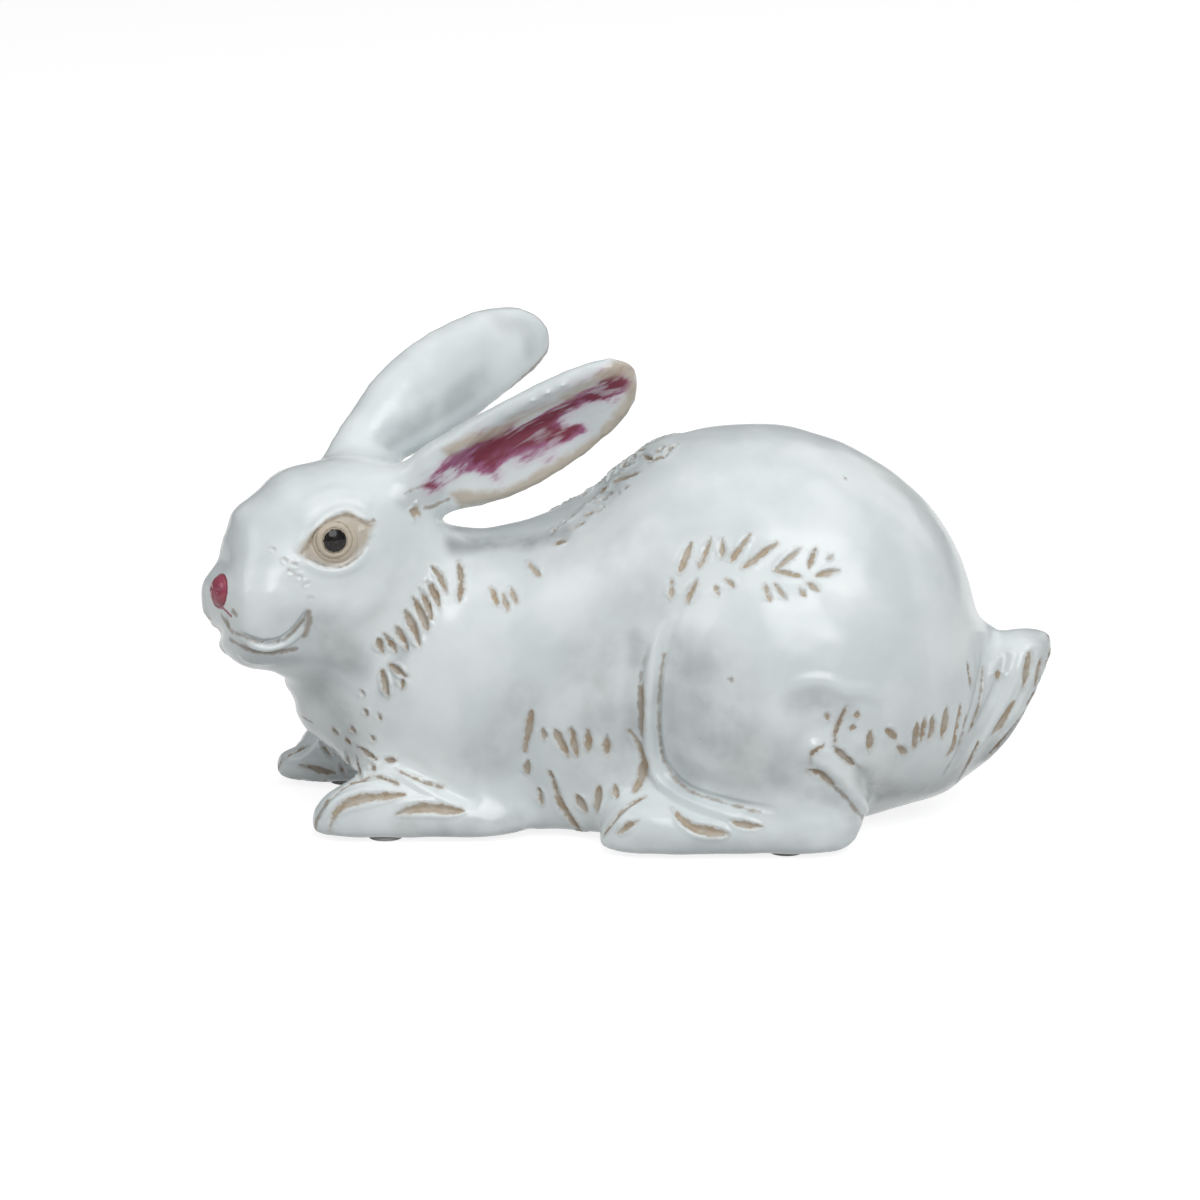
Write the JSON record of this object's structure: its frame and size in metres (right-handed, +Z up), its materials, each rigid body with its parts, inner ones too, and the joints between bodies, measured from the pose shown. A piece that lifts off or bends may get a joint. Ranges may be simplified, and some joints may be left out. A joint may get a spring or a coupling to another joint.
{
  "type": "ceramic rabbit figurine",
  "caption": "Crouching rabbit ornament in white glazed stoneware, hollow cast, with long ears laid back, tucked paws and felt pads that let it stand on a shelf or table.",
  "frame": {"origin": "middle of the figure's box, on the surface that the felt pads stand on", "axes": "+Z up, the nose points to -X, the rabbit's left flank to -Y"},
  "size_m": [0.3052, 0.1416, 0.1732],
  "materials": {
    "white_glaze": "thick milky white glaze over brown stoneware, thinning to brown on carved edges",
    "ear_glaze": "white glaze outside, crimson and violet brushed glaze in the scoop, bare beige rim",
    "eye_glaze": "beige clay eye with a black glossy pupil",
    "nose_glaze": "crimson brushed glaze",
    "bare_clay": "unglazed fired stoneware",
    "felt": "pressed grey wool felt"
  },
  "bodies": {
    "root": {"torso": "white_glaze", "head": "white_glaze", "tail": "white_glaze", "foreleg_left": "white_glaze", "foreleg_right": "white_glaze", "hind_foot_left": "white_glaze", "hind_foot_right": "white_glaze", "ear_left": "ear_glaze", "ear_right": "ear_glaze", "eye_left": "eye_glaze", "eye_right": "eye_glaze", "nose": "nose_glaze", "base_disc": "bare_clay", "pad_front_left": "felt", "pad_front_right": "felt", "pad_hind_left": "felt", "pad_hind_right": "felt"}
  },
  "joints": []
}
